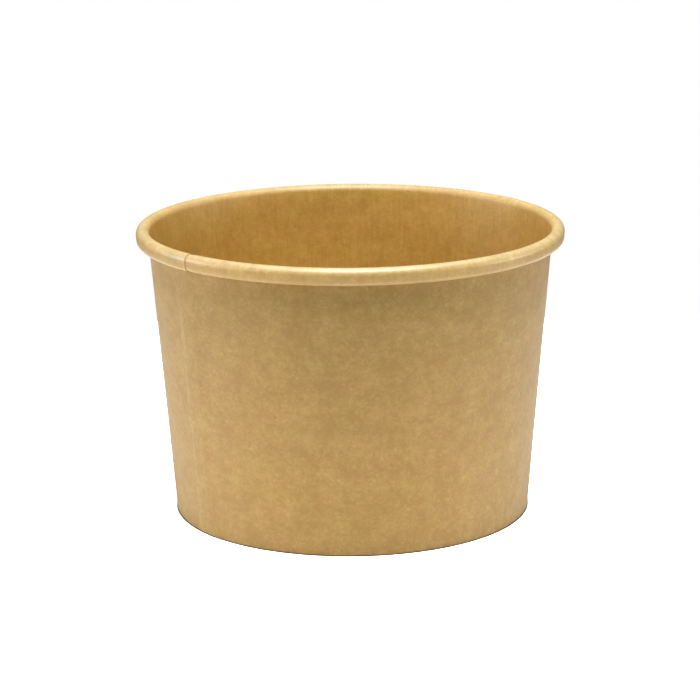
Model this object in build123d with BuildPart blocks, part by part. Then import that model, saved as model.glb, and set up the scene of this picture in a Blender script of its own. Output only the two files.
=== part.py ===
from build123d import *
from math import asin, atan2, cos, degrees, hypot, radians, sin
import os

os.makedirs("parts", exist_ok=True)

# Paper soup bowl, in millimetres. +Z is up, and the origin is the centre of the ring that the bowl stands on.
# The side wall is one blank of board wrapped into a cone, with its rim rolled outwards and its foot folded in and up
# round the turned-down skirt of the bottom disc.

# Outside sizes
rim_diameter = 115.0  # over the rolled rim
stand_diameter = 96.2  # outside of the wall, carried down to the table
bowl_height = 78.0

# Board
board = 0.4  # side wall blank
disc_board = 0.4  # bottom disc blank

# Rolled rim
roll_core_radius = 0.575  # free space inside the roll where the wall is doubled
roll_straight = 1.225  # straight outer side of the roll, between its crown and its foot
roll_gap = 0.05  # between the roll and the wall behind it, where the wall is doubled
tuck_share = 0.8  # how far up the straight side the raw edge reaches inside the roll

# Stand ring
hem_height = 7.0  # from the table to the raw edge of the hem
hem_headroom = 1.2  # from the hem's raw edge to the bend of the disc
seal_gap = 0.03  # each side of the skirt, between wall and hem
fold_bend_share = 0.22  # inside radius of the fold, as a share of the pocket that the skirt stands in
skirt_clearance = 0.3  # between the skirt's raw edge and the fold

# Bottom disc
skirt_bend = 0.4  # inside radius between the disc and its skirt

# Straight steps that a bend is drawn with
roll_outer_chords = 6  # each half turn of the roll, on its outside
roll_inner_chords = 4
crease_outer_chords = 2  # each creased corner, on its outside
crease_inner_chords = 1

# Lap seam
lap_edge_angle = 222.65  # where the layer on the food side ends, anticlockwise from +X
lap_width = 9.9  # overlap, measured round the rim
lap_ramp = 1.5  # length over which the outer layer comes down beside that edge

# The roll is as wide as the layers that pass through it where the wall is doubled: wall, tucked edge and outer side.
doubled = board + board
roll_width = 3 * doubled + roll_gap + 2 * roll_core_radius
crown_radius = roll_width / 2
crown_r = rim_diameter / 2 - crown_radius
crown_z = bowl_height - crown_radius


def foot_radius(stack):
    """Radius of the roll's foot, which turns back up beside a wall that is stack thick.

    A single wall leaves the roll room to stand off by half of the lap's step.
    """
    stand_off = roll_gap + (doubled - stack) / 2
    return (roll_width - stack - stand_off) / 2


roll_drop = roll_straight + foot_radius(board)  # from the crown's centre to the lowest point of the roll

# The wall's outer face leaves the stand at its diameter and meets the crown one board inside it.
run = crown_r - stand_diameter / 2
wall_lean = degrees(atan2(run, crown_z) - asin((crown_radius - board) / hypot(run, crown_z)))
up = Vector(sin(radians(wall_lean)), cos(radians(wall_lean)))
out = Vector(up.Y, -up.X)
crown = Vector(crown_r, crown_z)

# The skirt's pocket, between the wall and its hem
pocket = disc_board + 2 * seal_gap
fold_bend = fold_bend_share * pocket
fold_flat = (pocket - 2 * fold_bend) / out.X
floor_underside = hem_height + hem_headroom + skirt_bend

lap_angle = degrees(lap_width / crown_r)
ramp_angle = degrees(lap_ramp / crown_r)


def radial_plane(angle):
    """Half-plane through the bowl's axis: its own X is the radius and its own Y is the height."""
    across = Vector(1, 0, 0).rotate(Axis.Z, angle)
    return Plane(origin=(0, 0, 0), x_dir=across, z_dir=across.cross(Vector(0, 0, 1)))


def bend(start, heading, radius, turn, chords):
    """Draws a bend of the board as chords of its true arc, and returns where it ends.

    A ring turned from an arc takes thirty times the triangles of the narrow cone that a chord makes.
    """
    arc = JernArc(start, heading, radius, turn, mode=Mode.PRIVATE)
    Polyline([arc @ (step / chords) for step in range(chords + 1)])
    return arc @ 1


def board_face(stack, depth, roll_chords, crease_chords):
    """Draws the line that a face of the wall's board makes in a radial plane, and returns its two ends.

    It runs from the edge tucked into the roll, round the roll's foot and crown, down the wall, and round the fold to
    the hem's edge. stack is the thickness of all layers at this place, and depth is how far the face lies under the
    food side.
    """
    foot_bend = foot_radius(stack) - depth
    crown_bend = crown_radius - depth
    crease = fold_bend + depth
    straight = roll_drop - foot_radius(stack)
    foot = crown + (crown_radius - foot_radius(stack)) * out - straight * up
    tucked_end = foot - foot_bend * out + tuck_share * straight * up
    tucked = Line(tucked_end, foot - foot_bend * out)
    turned_up = bend(tucked @ 1, -up, foot_bend, 180, roll_chords)
    side = PolarLine(turned_up, straight, direction=up)
    turned_over = bend(side @ 1, up, crown_bend, 180, roll_chords)
    # The fold's first bend starts where the wall comes down to the bend's height over the table.
    height = stack + fold_bend - crease * up.X
    wall = PolarLine(turned_over, (turned_over.Y - height) / up.Y, direction=-up)
    turned_in = bend(wall @ 1, -up, crease, wall_lean - 90, crease_chords)
    flat = PolarLine(turned_in, fold_flat, direction=(-1, 0))
    turned_back = bend(flat @ 1, (-1, 0), crease, -90 - wall_lean, crease_chords)
    hem = PolarLine(turned_back, (hem_height - turned_back.Y) / up.Y, direction=up)
    return tucked_end, hem @ 1


def wall_section(stack, depth, thickness):
    """Section of the wall's board, thickness deep from depth under the food side."""
    with BuildSketch() as section:
        with BuildLine():
            # The food side is the outside of the roll's bends and the inside of the fold's creases.
            food_tuck, food_hem = board_face(stack, depth, roll_outer_chords, crease_inner_chords)
            skin_tuck, skin_hem = board_face(stack, depth + thickness, roll_inner_chords, crease_outer_chords)
            Line(food_tuck, skin_tuck)
            Line(food_hem, skin_hem)
        make_face()
    return section.sketch


single_section = wall_section(board, 0, board)
doubled_section = wall_section(doubled, 0, doubled)
lifted_section = wall_section(doubled, board, board)  # the outer layer alone, still lifted by the inner one

lap_start = lap_edge_angle - lap_angle
ramp_end = lap_edge_angle + ramp_angle

with BuildPart() as side_wall:
    # One layer, most of the way round
    with BuildSketch(radial_plane(ramp_end)):
        add(single_section)
    revolve(axis=Axis.Z, revolution_arc=360 - lap_angle - ramp_angle)
    # Two layers in the lap, up to the raw edge of the inner one
    with BuildSketch(radial_plane(lap_start)):
        add(doubled_section)
    revolve(axis=Axis.Z, revolution_arc=lap_angle)
    # The outer layer comes down off that edge
    with BuildSketch(radial_plane(lap_edge_angle)):
        add(lifted_section)
    with BuildSketch(radial_plane(ramp_end)):
        add(single_section)
    loft(ruled=True)

side_wall.part.label = "side_wall"
export_step(side_wall.part, "parts/side_wall.step")

# The skirt hangs one seal gap inside the wall's food face, and its raw edge stays clear of the doubled fold.
food_face_r = stand_diameter / 2 - board / out.X
skirt_r = food_face_r - seal_gap / out.X
floor_top = floor_underside + disc_board
corner_bend = skirt_bend + disc_board
skirt_end = doubled + skirt_clearance


def skirt_face(radius, chords):
    """Draws one face of the disc's board, from the axis over the corner bend and down the skirt, and returns its ends."""
    corner_z = floor_top - corner_bend
    corner_r = skirt_r + (corner_z * up.X - corner_bend) / up.Y
    level = Line((0, corner_z + radius), (corner_r, corner_z + radius))
    turned_down = bend(level @ 1, (1, 0), radius, -90 - wall_lean, chords)
    skirt = PolarLine(turned_down, (turned_down.Y - skirt_end) / up.Y, direction=-up)
    return level @ 0, skirt @ 1


with BuildPart() as bottom_disc:
    with BuildSketch(Plane.XZ):
        with BuildLine():
            top_middle, outer_end = skirt_face(corner_bend, crease_outer_chords)
            under_middle, inner_end = skirt_face(skirt_bend, crease_inner_chords)
            Line(top_middle, under_middle)
            Line(outer_end, inner_end)
        make_face()
    revolve(axis=Axis.Z)

bottom_disc.part.label = "bottom_disc"
export_step(bottom_disc.part, "parts/bottom_disc.step")

print("lean of the wall", round(wall_lean, 3), "degrees, roll", round(roll_width, 3), "wide and",
      round(crown_radius + roll_drop, 3), "high")
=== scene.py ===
# %% [markdown]
# # A paper soup bowl
# A bowl like this holds half a litre of soup to take away. It is made of two blanks of unbleached kraft
# board. The wall is a fan-shaped blank, wrapped into a cone and sealed along a lap. Its top edge is rolled
# outwards into a rim, and its foot is folded in and up round the skirt of a pressed bottom disc.
#
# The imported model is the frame: it gives the bowl's size and place. Here both blanks are made again as thin
# sheets with smooth bends, because the frame draws each bend with a few straight steps.

# %% Load the frame
import bmesh
import bpy
from math import asin, atan2, cos, degrees, hypot, pi, radians, sin, tau
from mathutils import Matrix, Vector


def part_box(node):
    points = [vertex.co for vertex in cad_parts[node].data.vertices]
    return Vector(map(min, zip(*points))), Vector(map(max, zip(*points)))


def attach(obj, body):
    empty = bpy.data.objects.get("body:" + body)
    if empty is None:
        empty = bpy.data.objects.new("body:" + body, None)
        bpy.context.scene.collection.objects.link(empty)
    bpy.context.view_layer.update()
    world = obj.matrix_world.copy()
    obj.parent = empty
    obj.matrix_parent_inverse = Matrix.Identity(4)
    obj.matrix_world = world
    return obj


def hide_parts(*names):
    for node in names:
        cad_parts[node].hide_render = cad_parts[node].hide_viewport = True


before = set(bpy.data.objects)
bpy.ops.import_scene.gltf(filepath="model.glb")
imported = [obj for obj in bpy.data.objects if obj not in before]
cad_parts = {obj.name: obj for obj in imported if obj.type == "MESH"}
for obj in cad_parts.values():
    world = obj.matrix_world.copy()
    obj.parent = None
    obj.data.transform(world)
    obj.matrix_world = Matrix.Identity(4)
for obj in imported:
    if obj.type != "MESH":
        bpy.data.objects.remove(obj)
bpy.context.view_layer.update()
low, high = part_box("side_wall")
MM = 0.001
bowl_height = high.z
rim_radius = min(high.x, high.y, -low.x, -low.y)
print("bowl: %.2f mm high, rim %.2f mm across" % (bowl_height / MM, 2 * rim_radius / MM))

# %% [markdown]
# ## The section of the wall
# A cut along the bowl's axis shows one line of board: a hem inside the stand ring, a fold at the table, the
# wall, and a roll of one full turn at the top. The food side faces into the bowl, so it ends up on the
# outside of the roll. The sizes below repeat the frame's own, and everything else follows from them.

# %% Sizes of the board's section
board = 0.4 * MM
stand_radius = 48.1 * MM
hem_height = 7.0 * MM
floor_top = 9.0 * MM  # of the bottom disc
seal_gap = 0.03 * MM  # on each side of the disc's skirt
fold_radius = 0.1 * MM  # inside the fold
roll_width = 3.6 * MM
roll_straight = 1.225 * MM  # the roll's outer side, between its two bends
roll_gap = 0.05 * MM  # between the roll and the wall
tuck_share = 0.8  # how far up the outer side the tucked edge reaches

doubled = 2 * board
crown_radius = roll_width / 2
crown_r = rim_radius - crown_radius
crown_z = bowl_height - crown_radius
run = crown_r - stand_radius
wall_lean = atan2(run, crown_z) - asin((crown_radius - board) / hypot(run, crown_z))
up = Vector((sin(wall_lean), 0, cos(wall_lean)))
out = Vector((up.z, 0, -up.x))
pocket = board + 2 * seal_gap
fold_flat = (pocket - 2 * fold_radius) / out.x
print("the wall leans out by %.2f degrees" % degrees(wall_lean))

# %% [markdown]
# A line like this could be a list of points, but it is easier to follow as the moves of a folding machine:
# go straight for a while, then bend round a centre. Extruding the last vertex makes a straight, and
# spinning it makes a bend.

# %% Moves that draw the section
hem_steps = 4
fold_steps = 5  # each of its two bends
flat_steps = 1  # between them
wall_steps = 24
crown_steps = 18
side_steps = 2
foot_steps = 14
tuck_steps = 2


def go(bm, tip, heading, length, steps):
    """Extrudes the line's tip straight on, and returns the new tip."""
    for _ in range(steps):
        tip = bmesh.ops.extrude_vert_indiv(bm, verts=[tip])["verts"][0]
        bmesh.ops.translate(bm, vec=heading * (length / steps), verts=[tip])
    return tip


def bend(bm, tip, centre, turn, steps):
    """Spins the tip round a centre; seen from -Y, a positive turn is anticlockwise."""
    made = bmesh.ops.spin(bm, geom=[tip], cent=centre, axis=(0, -1, 0), angle=turn, steps=steps)
    return made["geom_last"][0]


def foot_radius(stack):
    """Radius of the roll's foot beside a wall stack thick; a single wall leaves it a little room."""
    return (roll_width - stack - roll_gap - (doubled - stack) / 2) / 2


def draw_section(bm, stack, depth):
    """Draws the food face of a layer of board from the hem's edge to the edge tucked into the roll.

    stack is the thickness of all layers there, and depth is how far this layer's face lies under the food
    side.
    """
    crease = fold_radius + depth
    straight = roll_straight + foot_radius(board) - foot_radius(stack)
    crown = Vector((crown_r, 0, crown_z))
    foot = crown + (crown_radius - foot_radius(stack)) * out - straight * up
    wall_top = crown - (crown_radius - depth) * out
    fold_z = stack + fold_radius
    wall_foot = wall_top - up * ((wall_top.z - fold_z + crease * up.x) / up.z)
    in_centre = wall_foot - crease * out
    back_centre = in_centre - Vector((fold_flat, 0, 0))
    hem_foot = back_centre - crease * out
    hem_edge = hem_foot + up * ((hem_height - hem_foot.z) / up.z)

    tip = bm.verts.new(hem_edge)
    tip = go(bm, tip, -up, (hem_edge - hem_foot).length, hem_steps)
    tip = bend(bm, tip, back_centre, pi / 2 + wall_lean, fold_steps)
    tip = go(bm, tip, Vector((1, 0, 0)), fold_flat, flat_steps)
    tip = bend(bm, tip, in_centre, pi / 2 - wall_lean, fold_steps)
    tip = go(bm, tip, up, (wall_top - wall_foot).length, wall_steps)
    tip = bend(bm, tip, crown, -pi, crown_steps)
    tip = go(bm, tip, -up, straight, side_steps)
    tip = bend(bm, tip, foot, -pi, foot_steps)
    go(bm, tip, up, tuck_share * straight, tuck_steps)


# %% [markdown]
# The materials will need to know where along the board the roll begins. A trial section tells, because its
# edges come in the order in which they are drawn.

# %% Draw it once, to measure it
trial = bmesh.new()
draw_section(trial, board, 0)
lengths = [edge.calc_length() for edge in trial.edges]
trial.free()
before_crown = hem_steps + 2 * fold_steps + flat_steps + wall_steps
crown_start = sum(lengths[:before_crown])
crown_length = sum(lengths[before_crown:before_crown + crown_steps])
print("the board runs %.1f mm from hem to tucked edge, in %d steps" % (sum(lengths) / MM, len(lengths)))
print("it bends into the roll %.1f mm from the hem's edge" % (crown_start / MM))

# %% [markdown]
# ## The wall's blank
# The blank overlaps itself by ten millimetres, so it goes round by a little more than a full turn. It
# starts as the outer layer of the lap, lifted off the bowl by the layer inside it. Past that layer's raw
# edge it comes down, goes round as the only layer, and ends as the food-side layer. The hot bar that seals
# the lap presses both raw edges thin, so the lap hardly shows on the wall, and on the roll it is a fine
# line.

# %% The layers of the lap
lap_edge_angle = radians(222.65)  # raw edge of the food-side layer, anticlockwise from +X
lap_width = 9.9 * MM
pressed_food_edge = 0.15 * MM  # thickness left at the food-side layer's raw edge
pressed_skin_edge = 0.06 * MM  # and at the outer layer's
press_width = 3.0 * MM  # how far in from an edge the bar thins the board


def ease(share):
    """Rises from 0 to 1 with a smooth start and finish."""
    share = min(max(share, 0), 1)
    return share * share * (3 - 2 * share)


def lap_layers(into):
    """Thickness of the food-side layer and of the outer layer, into metres past the start of the lap."""
    food = pressed_food_edge + (board - pressed_food_edge) * ease((lap_width - into) / press_width)
    skin = pressed_skin_edge + (board - pressed_skin_edge) * ease(into / press_width)
    return food, skin


for into in (0, lap_width / 2, lap_width):
    food, skin = lap_layers(into)
    print("%.1f mm into the lap: %.2f mm of food-side layer under %.2f mm of outer layer" % (
        into / MM, food / MM, skin / MM))

# %% [markdown]
# One full spin can't overlap itself. So only the plain stretch is spun, and the stretches that change are
# drawn section by section and bridged. Only the food face is built: a Solidify modifier gives the board its
# thickness, and the raw edges with it.

# %% Draw and place one section
def place_section(bm, angle, stack, depth):
    """Draws a section, turns it to its angle round the bowl and returns its vertices in order."""
    before = len(bm.verts)
    draw_section(bm, stack, depth)
    bm.verts.ensure_lookup_table()
    line = bm.verts[before:]
    bmesh.ops.rotate(bm, verts=line, cent=(0, 0, 0), matrix=Matrix.Rotation(angle, 3, "Z"))
    return line


def edges_of(line):
    """The edges that join a line's vertices."""
    return [edge for a, b in zip(line, line[1:]) for edge in a.link_edges if edge.other_vert(a) is b]


# %% The stretches that change
lap_start = lap_edge_angle - lap_width / crown_r
lap_steps = 18
ramp = 2.6 * MM / crown_r  # beside a raw edge, where one layer comes down over the other
ramp_steps = 5
print("the lap covers %.1f degrees, and each ramp %.1f" % (degrees(lap_width / crown_r), degrees(ramp)))


def lap_sections(bm, turn, on_food_side):
    """Draws one layer of the lap, and returns its sections as (angle, thickness, vertices)."""
    sections = []
    for step in range(lap_steps + 1):
        into = lap_width * step / lap_steps
        food, skin = lap_layers(into)
        angle = turn + lap_start + into / crown_r
        line = place_section(bm, angle, food + skin, 0 if on_food_side else food)
        sections.append((angle, food if on_food_side else skin, line))
    return sections


def ramp_sections(bm, start, low_step, high_step, at_edge, lifts):
    """Draws the board's way past a raw edge that is at_edge thick.

    Only a layer that lifts leaves the food side.
    """
    sections = []
    for step in range(low_step, high_step):
        share = step / ramp_steps
        lift = at_edge * ease(1 - share if lifts else share)
        line = place_section(bm, start + ramp * share, board + lift, lift if lifts else 0)
        sections.append((start + ramp * share, board, line))
    return sections


# %% Wrap the blank into the wall
spin_step = radians(1)


def join(bm, sections):
    """Bridges each section to the next."""
    for (_, _, a), (_, _, b) in zip(sections, sections[1:]):
        bmesh.ops.bridge_loops(bm, edges=edges_of(a) + edges_of(b))


def spin_plain(bm, angle, line, plain):
    """Spins a line on through the plain stretch, and returns the sections short of the stretch's end."""
    steps = round(plain / spin_step)
    step_angle = plain / steps
    before = len(bm.verts)
    bmesh.ops.spin(bm, geom=line + edges_of(line), axis=(0, 0, 1), angle=step_angle * (steps - 1),
                   steps=steps - 1)
    bm.verts.ensure_lookup_table()
    # The spin adds its vertices section by section, each in the order of the line that it spins.
    sections = []
    for step in range(1, steps):
        first = before + (step - 1) * len(line)
        sections.append((angle + step_angle * step, board, bm.verts[first:first + len(line)]))
    return sections


def wrap_wall(bm):
    """Builds the food face of the whole blank, and returns all its sections in order."""
    outer = lap_sections(bm, 0, False)
    outer += ramp_sections(bm, lap_edge_angle, 1, ramp_steps + 1, pressed_food_edge, True)
    inner = ramp_sections(bm, tau + lap_start - ramp, 0, ramp_steps, pressed_skin_edge, False)
    inner += lap_sections(bm, tau, True)
    join(bm, outer)
    join(bm, inner)
    angle, _, line = outer[-1]
    single = spin_plain(bm, angle, line, inner[0][0] - angle)
    join(bm, [single[-1], inner[0]])
    return outer + single + inner


bm = bmesh.new()
bm.verts.layers.deform.new()
lines = wrap_wall(bm)
print("the blank has %d sections of %d vertices, and %d faces" % (
    len(lines), len(lines[0][2]), len(bm.faces)))

# %% [markdown]
# A toothed wheel rolls round inside the stand ring and presses the hem onto the disc's skirt. It leaves a
# band of fine upright ribs. The sections stand close enough to be the ribs: every other one steps in by a
# hair. The lap is left smooth, because its two layers would have to step in together.

# %% Knurl the hem
knurl_depth = 0.08 * MM
smooth_sections = lap_steps + ramp_steps + 1  # at each end of the blank
grooves = lines[smooth_sections:-smooth_sections:2]

for angle, _, line in grooves:
    inwards = Vector((-cos(angle), -sin(angle), 0))
    bmesh.ops.translate(bm, vec=inwards * knurl_depth, verts=line[1:hem_steps])
print("the hem has %d grooves" % len(grooves))

# %% [markdown]
# The board's pattern follows the blank, not the space it stands in, so each corner gets a place on the flat
# blank as its UV: how far round the bowl it is, and how far along the section, both in metres.

# %% Lay the blank out flat as a UV map
def lay_out(bm, lines, radius):
    """Gives every face corner its place on the flat blank, in metres."""
    flat = bm.loops.layers.uv.new("blank")
    place = {}
    for angle, _, line in lines:
        along = 0
        for vert, ahead in zip(line, line[1:] + line[-1:]):
            place[vert] = (angle * radius, along)
            along += (ahead.co - vert.co).length
    for face in bm.faces:
        for loop in face.loops:
            loop[flat].uv = place[loop.vert]


middle_radius = (rim_radius + stand_radius) / 2
lay_out(bm, lines, middle_radius)
print("the blank is %.0f mm long, halfway up" % ((lines[-1][0] - lines[0][0]) * middle_radius / MM))

# %% [markdown]
# Solidify can vary a sheet's thickness by a vertex group. The group's weight is the share of the full
# thickness, so the pressed edges of the lap get less than 1. The sheet's faces point to the food side, and
# the board grows behind them. That gives the modifier three surfaces to colour: the food side keeps the
# first material, the skin behind it gets the second, and the raw edges get the third.

# %% Note how thick the board is
def note_thickness(bm, lines):
    """Gives each vertex its share of the board's thickness, as its weight in the first group."""
    weights = bm.verts.layers.deform.active
    for _, thickness, line in lines:
        for vert in line:
            vert[weights][0] = thickness / board


note_thickness(bm, lines)
print("the board is %.2f mm thick where it is pressed most" % (min(line[1] for line in lines) / MM))

# %% Turn the sheet into a piece of board
def finish_board(bm, name, inside_point):
    """Makes an object of a sheet, turns its faces to the food side, and gives it the board's thickness."""
    bmesh.ops.recalc_face_normals(bm, faces=bm.faces)
    bm.faces.ensure_lookup_table()
    nearest = min(bm.faces, key=lambda face: (face.calc_center_median() - inside_point).length)
    if nearest.normal.dot(inside_point - nearest.calc_center_median()) < 0:
        bmesh.ops.reverse_faces(bm, faces=bm.faces)
    for face in bm.faces:
        face.smooth = True
    for edge in bm.edges:
        edge.smooth = not edge.is_boundary
    mesh = bpy.data.meshes.new(name)
    bm.to_mesh(mesh)
    bm.free()
    piece = bpy.data.objects.new(name, mesh)
    bpy.context.scene.collection.objects.link(piece)
    piece.vertex_groups.new(name="thickness")
    thick = piece.modifiers.new("board", "SOLIDIFY")
    thick.thickness = board
    thick.vertex_group = "thickness"
    thick.offset = -1
    thick.use_even_offset = True
    thick.material_offset = 1
    thick.material_offset_rim = 2
    print("%s: a sheet of %d faces" % (name, len(mesh.polygons)))
    return piece


bowl_middle = Vector((0, 0, bowl_height / 2))
wall_piece = finish_board(bm, "wrapped_wall", bowl_middle)
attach(wall_piece, "root")
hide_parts("side_wall")

# %% [markdown]
# ## The bottom disc
# The second blank is pressed into a shallow cup, upside down: a level floor, a tight bend and a skirt that
# hangs in the pocket between the wall and its hem. One section and one full spin make it. Vertices that
# meet at the axis are merged, so that the floor is closed.

# %% Spin the disc
disc_bend = 0.8 * MM  # outside radius between floor and skirt
skirt_end = 1.1 * MM  # how far the skirt's raw edge stays above the table
floor_steps = 24
disc_bend_steps = 8
skirt_steps = 4
disc_turn_steps = 180
merge_distance = 0.001 * MM
skirt_r = stand_radius - (board + seal_gap) / out.x
corner_z = floor_top - disc_bend
corner_r = skirt_r + (corner_z * up.x - disc_bend) / up.z

bm = bmesh.new()
bm.verts.layers.deform.new()
tip = bm.verts.new((0, 0, floor_top))
tip = go(bm, tip, Vector((1, 0, 0)), corner_r, floor_steps)
tip = bend(bm, tip, Vector((corner_r, 0, corner_z)), -pi / 2 - wall_lean, disc_bend_steps)
go(bm, tip, -up, (tip.co.z - skirt_end) / up.z, skirt_steps)
bmesh.ops.spin(bm, geom=bm.verts[:] + bm.edges[:], axis=(0, 0, 1), angle=tau, steps=disc_turn_steps,
               use_merge=True)
bmesh.ops.remove_doubles(bm, verts=bm.verts, dist=merge_distance)
flat = bm.loops.layers.uv.new("blank")
for face in bm.faces:
    for loop in face.loops:
        loop[flat].uv = loop.vert.co.xy
note_thickness(bm, [(0, board, bm.verts)])
disc_piece = finish_board(bm, "pressed_disc", bowl_middle)
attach(disc_piece, "root")
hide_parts("bottom_disc")

# %% [markdown]
# ## Unbleached kraft board
# Kraft is pulp of softwood that keeps its lignin, so it is golden brown. Seen close it is cloudy where
# fibres lie thicker, and just as uneven at every smaller size, down to single fibres that cross in all
# directions. The pulp isn't quite even either, so the hue shifts a little from place to place, and here and
# there is a speck of bark. Noise whose octaves all have the same strength gives the clouds and blotches at
# once, and ridged noise draws the fibres. Everything is laid on the flat blank, so the pattern runs round
# the roll with the board.

# %% Colours and nodes
def linear(hex_colour):
    """An sRGB hex colour as linear red, green, blue and alpha."""
    shares = [int(hex_colour[i:i + 2], 16) / 255 for i in (1, 3, 5)]
    return [c / 12.92 if c <= 0.04045 else ((c + 0.055) / 1.055) ** 2.4 for c in shares] + [1.0]


def add(tree, kind, inputs=None, **settings):
    """Adds a node with its settings; inputs maps a socket to a value, or to the output that feeds it."""
    node = tree.nodes.new(kind)
    for name, value in settings.items():
        setattr(node, name, value)
    for socket, value in (inputs or {}).items():
        if isinstance(value, bpy.types.NodeSocket):
            tree.links.new(value, node.inputs[socket])
        else:
            node.inputs[socket].default_value = value
    return node


print("halfway up in sRGB is %.2f in linear light" % linear("#808080")[0])

# %% The board's pattern
cloud_size = 8 * MM  # thick and thin places in the sheet
cloud_halvings = 5.0  # each octave of the noise is half as wide as the last
cloud_strengths = 1.0  # and just as strong
fibre_size = 1.3 * MM  # between crossing fibres; real ones lie closer, too fine to show in the render
fibre_halvings = 1.0
fibre_strengths = 0.6  # each octave's strength beside the last
neutral_fibre = 0.3  # ridged noise of this strength leaves the tone alone, and less darkens it
streak_width = 0.8 * MM  # left by the die that lays the film on
streak_length = 7 * MM
tone_shift = -0.07  # brings most of the board nearer its darker shade
speck_spacing = 16 * MM
speck_radius = 0.5 * MM
print("the finest unevenness is %.2f mm wide" % (cloud_size / 2 ** cloud_halvings / MM))


def board_pattern(tree, fibre_share, streaks):
    """Adds the kraft pattern on the flat blank, and returns its tone and the specks' strength.

    fibre_share and streaks are the shares of the fibres and of the film's streaks in the tone.
    """
    flat = add(tree, "ShaderNodeUVMap", uv_map="blank").outputs["UV"]
    clouds = add(tree, "ShaderNodeTexNoise", {
        "Vector": flat, "Scale": 1 / cloud_size, "Detail": cloud_halvings,
        "Roughness": cloud_strengths})
    fibres = add(tree, "ShaderNodeTexNoise", {
        "Vector": flat, "Scale": 1 / fibre_size, "Detail": fibre_halvings,
        "Roughness": fibre_strengths}, noise_type="RIDGED_MULTIFRACTAL")
    stretch = add(tree, "ShaderNodeMapping", {
        "Vector": flat, "Scale": (1 / streak_width, 1 / streak_length, 1.0)})
    film = add(tree, "ShaderNodeTexNoise", {
        "Vector": stretch.outputs["Vector"], "Scale": 1.0, "Detail": 1.0})
    fibre_tone = add(tree, "ShaderNodeMath", {
        0: fibres.outputs["Fac"], 1: fibre_share, 2: tone_shift - neutral_fibre * fibre_share},
        operation="MULTIPLY_ADD")
    film_tone = add(tree, "ShaderNodeMath", {
        0: film.outputs["Fac"], 1: streaks, 2: -streaks / 2}, operation="MULTIPLY_ADD")
    tone = add(tree, "ShaderNodeMath", {
        0: clouds.outputs["Fac"], 1: fibre_tone.outputs[0]}, operation="ADD")
    tone = add(tree, "ShaderNodeMath", {
        0: tone.outputs[0], 1: film_tone.outputs[0]}, operation="ADD")
    cells = add(tree, "ShaderNodeTexVoronoi", {
        "Vector": flat, "Scale": 1 / speck_spacing, "Randomness": 1.0})
    near = add(tree, "ShaderNodeMapRange", {
        "Value": cells.outputs["Distance"], "From Min": speck_radius / speck_spacing, "From Max": 0.0})
    speck = add(tree, "ShaderNodeMath", {
        0: near.outputs["Result"], 1: cells.outputs["Color"]}, operation="MULTIPLY")
    return tone.outputs[0], speck.outputs[0]


# %% From tone to colour
darkest_tone, palest_tone = 0.30, 0.70  # the tones that get the two shades themselves
pulp_size = 7 * MM  # places with a slightly different hue
pulp_halvings = 3.0
pulp_strengths = 0.9
hue_range = 0.035  # of a full turn of the colour wheel
same_hue = 0.5  # a Hue/Saturation node leaves the hue alone here
print("the hue shifts by %.0f degrees at most, either way" % (hue_range / 2 * 360))


def shades(tree, tone, dark, pale):
    """Turns the tone into a colour between two shades of kraft."""
    node = add(tree, "ShaderNodeValToRGB", {"Fac": tone})
    ends = node.color_ramp.elements
    ends[0].position, ends[0].color = darkest_tone, linear(dark)
    ends[1].position, ends[1].color = palest_tone, linear(pale)
    return node.outputs["Color"]


def shift_hue(tree, colour):
    """Turns the colour a little to red or to yellow from place to place, as the pulp of a sheet varies."""
    flat = add(tree, "ShaderNodeUVMap", uv_map="blank").outputs["UV"]
    pulp = add(tree, "ShaderNodeTexNoise", {
        "Vector": flat, "Scale": 1 / pulp_size, "Detail": pulp_halvings, "Roughness": pulp_strengths})
    hue = add(tree, "ShaderNodeMath", {
        0: pulp.outputs["Fac"], 1: hue_range, 2: same_hue - hue_range / 2}, operation="MULTIPLY_ADD")
    node = add(tree, "ShaderNodeHueSaturation", {"Hue": hue.outputs[0], "Color": colour})
    return node.outputs["Color"]


# %% [markdown]
# The roll is made by a hot curling tool that stretches and irons the film, and polishes it. Over the roll the
# colour is a brighter copy of the film's, which is painted light, and over the crown it is whiter still,
# partly stretched film and partly a painted sheen. Both follow the distance along the blank, so the tones
# change with the bend and not with the height.

# %% How far into the roll a place lies
# The whitening over the crown is partly stretched film and partly a painted sheen.
white_begins, white_full = -0.1, 0.45  # all as shares of the way over the crown
white_fades, white_ends = 0.7, 1.0
polish_begins, polish_full = 0.3, 0.75
print("the film is whitest from %.1f to %.1f mm into the roll" % (
    white_full * crown_length / MM, white_fades * crown_length / MM))


def along_roll(tree):
    """Returns the polish, 0 in the bowl and 1 on the roll, and the whitening and painted sheen, 1 on the
    crown only.
    """
    flat = add(tree, "ShaderNodeUVMap", uv_map="blank").outputs["UV"]
    along = add(tree, "ShaderNodeSeparateXYZ", {"Vector": flat}).outputs["Y"]
    turned = add(tree, "ShaderNodeMapRange", {
        "Value": along, "From Min": crown_start, "From Max": crown_start + crown_length}, clamp=False)
    turned = turned.outputs["Result"]
    polish = add(tree, "ShaderNodeMapRange", {
        "Value": turned, "From Min": polish_begins, "From Max": polish_full})
    rise = add(tree, "ShaderNodeMapRange", {
        "Value": turned, "From Min": white_begins, "From Max": white_full})
    fade = add(tree, "ShaderNodeMapRange", {
        "Value": turned, "From Min": white_ends, "From Max": white_fades})
    white = add(tree, "ShaderNodeMath", {
        0: rise.outputs["Result"], 1: fade.outputs["Result"]}, operation="MULTIPLY")
    return polish.outputs["Result"], white.outputs[0]


# %% [markdown]
# The board has three faces to show. The skin side is bare: matt, with a little fuzz of loose fibre ends
# that makes it paler towards its outline. The food side carries a film of polyethylene a few hundredths of
# a millimetre thick. It makes the colour deeper, hides the fibres behind faint streaks, and gives the rim
# its shine, so it is the Principled shader's coat. The raw edges show rough fibre.

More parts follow.
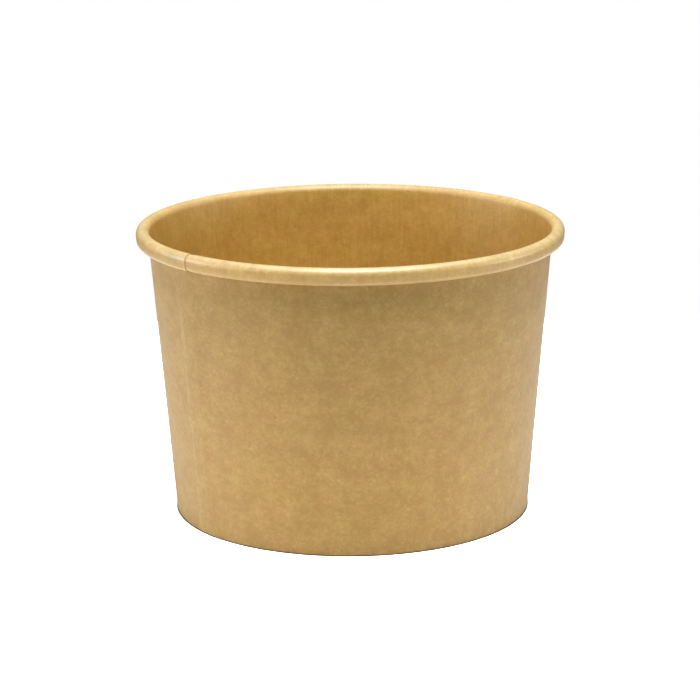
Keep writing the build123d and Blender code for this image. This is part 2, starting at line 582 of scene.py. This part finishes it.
# %% The material of each side
bark = "#5A3A1C"
board_ior = 1.5  # of cellulose, and nearly of polyethylene
film_roughness = 0.42
fuzz_roughness = 0.5


def kraft(name, dark, pale, roughness, relief, fibre_share, streaks=0.0, fuzz=0.0, gloss=0.0,
          roll_gloss=None, roll_lit_shades=None, crown_sheen_shades=None):
    """A material for one side of the board.

    dark and pale are its shades, relief is how far its fibres stand out, and gloss is its film's weight.
    roll_gloss and the roll's and crown's shades are for film that is bent. The roll's shades are a brighter
    copy that paints light on it, and the crown's whiter ones are partly a painted sheen.
    """
    material = bpy.data.materials.new(name)
    material.use_nodes = True
    tree = material.node_tree
    tree.nodes.clear()
    tone, speck = board_pattern(tree, fibre_share, streaks)
    colour = shades(tree, tone, dark, pale)
    # A Mix node has sockets for each kind of data. Its two colours are 6 and 7, and they come out at 2.
    if roll_lit_shades:
        bent, white = along_roll(tree)
        gloss = add(tree, "ShaderNodeMath", {
            0: bent, 1: roll_gloss - gloss, 2: gloss}, operation="MULTIPLY_ADD").outputs[0]
        # Painted light: the roll takes a brighter copy of the film's shades, and the crown whiter ones for a
        # painted sheen.
        colour = add(tree, "ShaderNodeMix", {
            "Factor": bent, 6: colour, 7: shades(tree, tone, *roll_lit_shades)}, data_type="RGBA").outputs[2]
        colour = add(tree, "ShaderNodeMix", {
            "Factor": white, 6: colour, 7: shades(tree, tone, *crown_sheen_shades)}, data_type="RGBA").outputs[2]
    colour = add(tree, "ShaderNodeMix", {
        "Factor": speck, 6: shift_hue(tree, colour), 7: linear(bark)}, data_type="RGBA").outputs[2]
    bump = add(tree, "ShaderNodeBump", {"Height": tone, "Strength": 1.0, "Distance": relief})
    shader = add(tree, "ShaderNodeBsdfPrincipled", {
        "Base Color": colour, "Roughness": roughness, "IOR": board_ior, "Normal": bump.outputs["Normal"],
        "Coat Weight": gloss, "Coat Roughness": film_roughness, "Coat IOR": board_ior,
        "Sheen Weight": fuzz, "Sheen Roughness": fuzz_roughness})
    add(tree, "ShaderNodeOutputMaterial", {"Surface": shader.outputs["BSDF"]})
    print("%s: %d nodes" % (name, len(tree.nodes)))
    return material


# The shades of the roll and of the crown are paler partly as painted light and a painted sheen.
food_side = kraft("polyethylene_lined_kraft", dark="#AB8336", pale="#C79F53", roughness=0.5,
                  relief=0.03 * MM, fibre_share=0.08, streaks=0.24, gloss=0.2, roll_gloss=1.0,
                  roll_lit_shades=("#BE9646", "#DEB666"), crown_sheen_shades=("#B49C68", "#D6BE8A"))
skin_side = kraft("unbleached_kraft", dark="#AA8540", pale="#CAA560", roughness=0.62,
                  relief=0.03 * MM, fibre_share=0.2, fuzz=0.23)
cut_edge = kraft("cut_kraft_fibre", dark="#9A7444", pale="#C09A68", roughness=0.85,
                 relief=0.06 * MM, fibre_share=0.2)
for piece in (wall_piece, disc_piece):
    for material in (food_side, skin_side, cut_edge):
        piece.data.materials.append(material)

# %% [markdown]
# ## The stage
# The bowl stands on a sheet of white card in a white surround, and the photograph shows both without any
# tone. A white background alone would do for that, but a card also takes the bowl's shade and throws light
# back up at it, so it is a plane.

# %% Card
card_size = 420 * MM

bm = bmesh.new()
bmesh.ops.create_grid(bm, x_segments=1, y_segments=1, size=card_size / 2)
mesh = bpy.data.meshes.new("card")
bm.to_mesh(mesh)
bm.free()
card = bpy.data.objects.new("card", mesh)
bpy.context.scene.collection.objects.link(card)
print("card: %.0f mm square" % (card_size / MM))

# %% [markdown]
# For the camera the card is a diffuse white that returns more than it gets, as an overexposed one does, so
# it still darkens where the bowl shades it. For the light that bounces up to the bowl it is plain white
# card. Close in under the fold no light reaches a real card, which shows as a thin dark line, so out to the
# bowl's foot the card is painted nearly black: a painted shadow.

# %% What the card shows
card_white = 0.9  # share of the light that a white card throws back
overexposed = 3.0  # the same for the camera
painted_shadow_grey = 0.03  # and under the bowl
painted_shadow_fade = 0.5 * MM


def grey(level):
    """A grey as red, green, blue and alpha; the level is linear."""
    return (level, level, level, 1.0)


white_card = bpy.data.materials.new("white_card")
white_card.use_nodes = True
tree = white_card.node_tree
tree.nodes.clear()
seen = add(tree, "ShaderNodeLightPath").outputs["Is Camera Ray"]
bounced = add(tree, "ShaderNodeBsdfDiffuse", {"Color": grey(card_white)}).outputs[0]
shown = add(tree, "ShaderNodeBsdfDiffuse", {"Color": grey(overexposed)}).outputs[0]
open_card = add(tree, "ShaderNodeMixShader", {0: seen, 1: bounced, 2: shown}).outputs[0]
# A painted shadow: under the bowl's foot the card is nearly black for every ray.
painted_shadow_card = add(tree, "ShaderNodeBsdfDiffuse", {"Color": grey(painted_shadow_grey)}).outputs[0]
spot = add(tree, "ShaderNodeTexCoord").outputs["Object"]
from_axis = add(tree, "ShaderNodeVectorMath", {0: spot}, operation="LENGTH").outputs["Value"]
outside = add(tree, "ShaderNodeMapRange", {
    "Value": from_axis, "From Min": stand_radius, "From Max": stand_radius + painted_shadow_fade})
either = add(tree, "ShaderNodeMixShader", {0: outside.outputs["Result"], 1: painted_shadow_card, 2: open_card})
add(tree, "ShaderNodeOutputMaterial", {"Surface": either.outputs[0]})
card.data.materials.append(white_card)
print("the card is dark out to %.1f mm from the axis" % (stand_radius / MM))

# %% [markdown]
# The surround is the world itself. The camera sees it as full white, and the bowl gets only the little light
# that a white room throws back from all round.

# %% Surround
room_light = 0.14
backdrop_white = 1.0

world = bpy.data.worlds.new("studio")
bpy.context.scene.world = world
world.use_nodes = True
tree = world.node_tree
tree.nodes.clear()
seen = add(tree, "ShaderNodeLightPath").outputs["Is Camera Ray"]
room = add(tree, "ShaderNodeBackground", {"Color": grey(1.0), "Strength": room_light}).outputs[0]
backdrop = add(tree, "ShaderNodeBackground", {"Color": grey(1.0), "Strength": backdrop_white}).outputs[0]
either = add(tree, "ShaderNodeMixShader", {0: seen, 1: room, 2: backdrop})
add(tree, "ShaderNodeOutputWorld", {"Surface": either.outputs[0]})
print("the surround lights the bowl with %.0f per cent of its white" % (100 * room_light))

# %% [markdown]
# ## Light
# Two softboxes hang over the bowl, one of them a little in front. They make the shine along the rim, leave
# the wall dark under the overhang, and light the card, which throws its light back up at the wall and at
# the underside of the roll. A panel low at each side makes the wall's edges paler than its middle; the left
# one is the brighter.

# %% Softboxes
def softbox(name, place, size, power):
    """A rectangular area lamp facing the middle of the bowl; place and size in metres, power in watts."""
    lamp = bpy.data.lights.new(name, "AREA")
    lamp.shape = "RECTANGLE"
    lamp.size, lamp.size_y = size
    lamp.energy = power
    box = bpy.data.objects.new(name, lamp)
    box.location = place
    aim = bowl_middle - Vector(place)
    box.rotation_euler = aim.to_track_quat("-Z", "Y").to_euler()
    bpy.context.scene.collection.objects.link(box)
    print("%s: %.2f m from the bowl" % (name, aim.length))


softbox("overhead", place=(0.03, -0.06, 0.6), size=(0.28, 0.3), power=3.65)
softbox("overhead_front", place=(0.0, -0.31, 0.8), size=(0.5, 0.3), power=4.45)
softbox("left_panel", place=(-1.2, 0.0, 0.25), size=(0.8, 0.48), power=7.8)
softbox("right_panel", place=(1.2, 0.0, 0.12), size=(0.6, 0.2), power=4.4)

# %% [markdown]
# ## Camera
# The camera stands low in front of the bowl and looks down by fourteen degrees, so the mouth is a narrow
# ellipse. Its distance and focal length come from how much smaller the rim's far side looks than its near
# side.

# %% Camera
camera_distance = 718.7 * MM  # from the middle of the bowl
camera_rise = radians(14.666)
camera_tilt = radians(-0.287)  # looks a little higher than the middle of the bowl
camera_pan = radians(-0.027)
camera_roll = radians(-0.473)
focal_pixels = 2640.0
picture_pixels = 700
sensor_width = 36.0  # in millimetres, as the lens is

camera_data = bpy.data.cameras.new("camera")
camera_data.sensor_width = sensor_width
camera_data.lens = sensor_width * focal_pixels / picture_pixels
camera = bpy.data.objects.new("camera", camera_data)
bpy.context.scene.collection.objects.link(camera)
bpy.context.scene.camera = camera
view_down = camera_rise + camera_tilt
ahead = Matrix.Rotation(-camera_pan, 3, "Z") @ Vector((0, cos(view_down), -sin(view_down)))
right = ahead.cross(Vector((0, 0, 1))).normalized()
above = right.cross(ahead)
turned_right = cos(camera_roll) * right + sin(camera_roll) * above
turned_above = cos(camera_roll) * above - sin(camera_roll) * right
facing = Matrix((turned_right, turned_above, -ahead)).transposed().to_4x4()
stand = bowl_middle + camera_distance * Vector((0, -cos(camera_rise), sin(camera_rise)))
camera.matrix_world = Matrix.Translation(stand) @ facing
print("camera: %.0f mm lens, looking down %.1f degrees" % (camera_data.lens, degrees(view_down)))

bpy.context.scene.view_settings.view_transform = "Standard"
